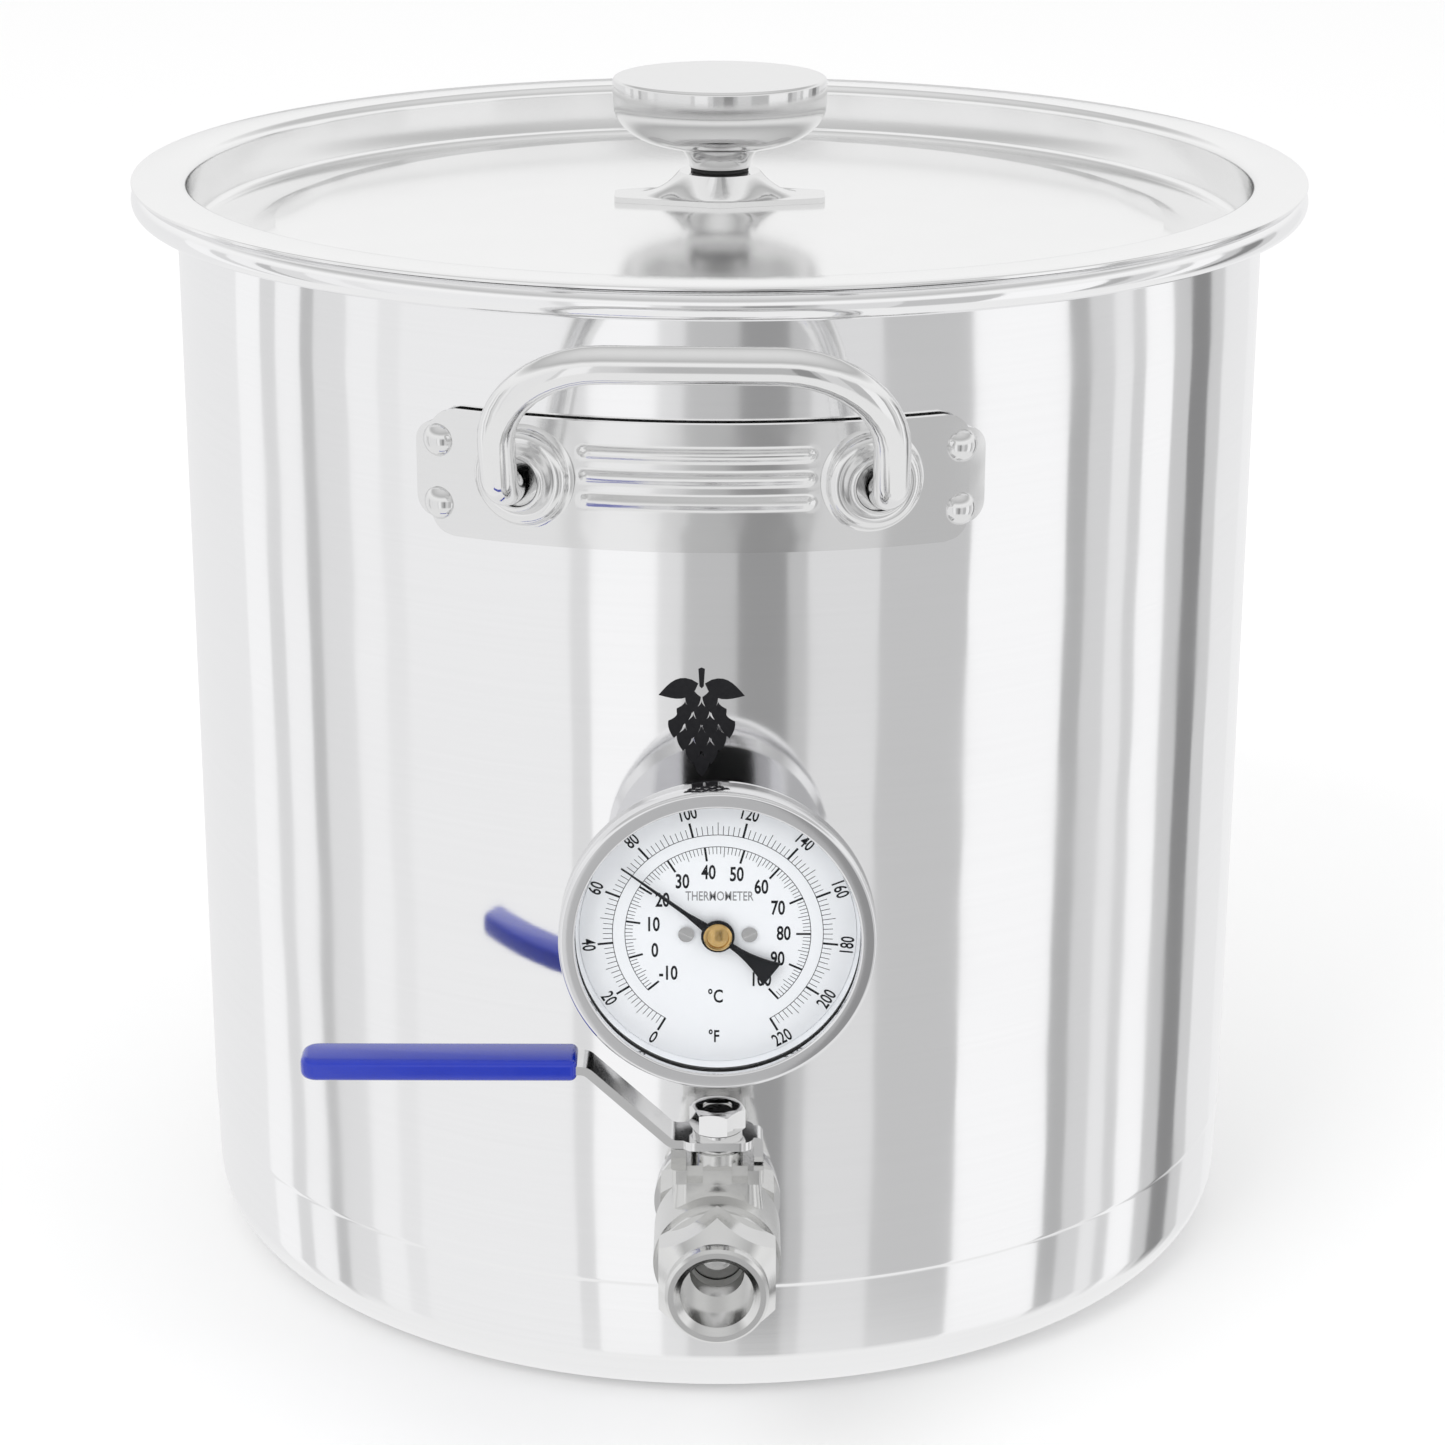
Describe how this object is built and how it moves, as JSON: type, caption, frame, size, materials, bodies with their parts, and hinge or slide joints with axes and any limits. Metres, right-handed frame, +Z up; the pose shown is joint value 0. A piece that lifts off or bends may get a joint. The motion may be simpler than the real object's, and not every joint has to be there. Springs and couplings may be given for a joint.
{
  "type": "brew kettle",
  "caption": "Stainless brew kettle with lid and knob, two fixed rod handles, a dial thermometer and a drain ball valve with a blue lever grip.",
  "frame": {"origin": "centre of the flat base, on the pot's axis", "axes": "+Z up along the pot's axis; -Y towards the front, where the valve outlet and the thermometer face; +X to the right seen from the front"},
  "size_m": [0.357, 0.4367, 0.3624],
  "materials": {
    "polished_steel": "mirror polished with a faint horizontal grain",
    "cast_steel": "cast and machined, satin",
    "blue_vinyl": "dipped vinyl, glossy",
    "lens_glass": "clear",
    "dial_enamel": "white enamel with printed scales",
    "needle_black": "satin black",
    "brass": "turned",
    "silicone": "translucent silicone",
    "black_rubber": "matt",
    "ptfe": "waxy"
  },
  "bodies": {
    "kettle": {"pot_shell": "polished_steel", "handle_bracket_front": "polished_steel", "handle_bracket_rear": "polished_steel", "handle_strap_front": "polished_steel", "handle_strap_rear": "polished_steel", "handle_rod_front": "polished_steel", "handle_rod_rear": "polished_steel", "handle_rivets_front": "polished_steel", "handle_rivets_rear": "polished_steel", "drain_nipple": "cast_steel", "drain_seal": "silicone", "drain_washer": "polished_steel", "drain_locknut": "cast_steel", "valve_body": "cast_steel", "valve_end_piece": "cast_steel", "ball_seats": "ptfe", "stem_packing": "ptfe", "gland_ring": "polished_steel", "thermo_case": "polished_steel", "thermo_bezel": "polished_steel", "thermo_lens": "lens_glass", "lens_seal": "black_rubber", "dial_plate": "dial_enamel", "dial_ring": "dial_enamel", "dial_screws": "polished_steel", "probe_fitting": "cast_steel", "probe_tube": "polished_steel", "probe_seal": "silicone", "probe_washer": "polished_steel", "probe_locknut": "cast_steel", "bimetal_coil": "brass", "spindle_bush": "brass"},
    "lever": {"valve_ball": "polished_steel", "valve_stem": "cast_steel", "valve_lever": "polished_steel", "lever_grip": "blue_vinyl", "lever_nut": "polished_steel", "lever_washer": "polished_steel"},
    "needle": {"needle": "needle_black", "needle_hub": "brass", "needle_spindle": "brass"},
    "lid": {"lid_shell": "polished_steel", "knob_foot": "polished_steel", "knob": "polished_steel", "knob_washer": "black_rubber", "knob_screw": "polished_steel"}
  },
  "joints": [
    {"name": "lever_turn", "type": "hinge", "parent": "kettle", "child": "lever", "pos_m": [0, -0.194, 0.0682], "axis": [0, 0, 1], "range_deg": [0, 90]},
    {"name": "needle_turn", "type": "hinge", "parent": "kettle", "child": "needle", "pos_m": [0, -0.1926, 0.1593], "axis": [0, 1, 0], "range_deg": [-97, 203], "stiffness_Nm_per_rad": 0.001},
    {"name": "lid_lift", "type": "slide", "parent": "kettle", "child": "lid", "axis": [0, 0, 1], "range_m": [0, 0.15]}
  ]
}
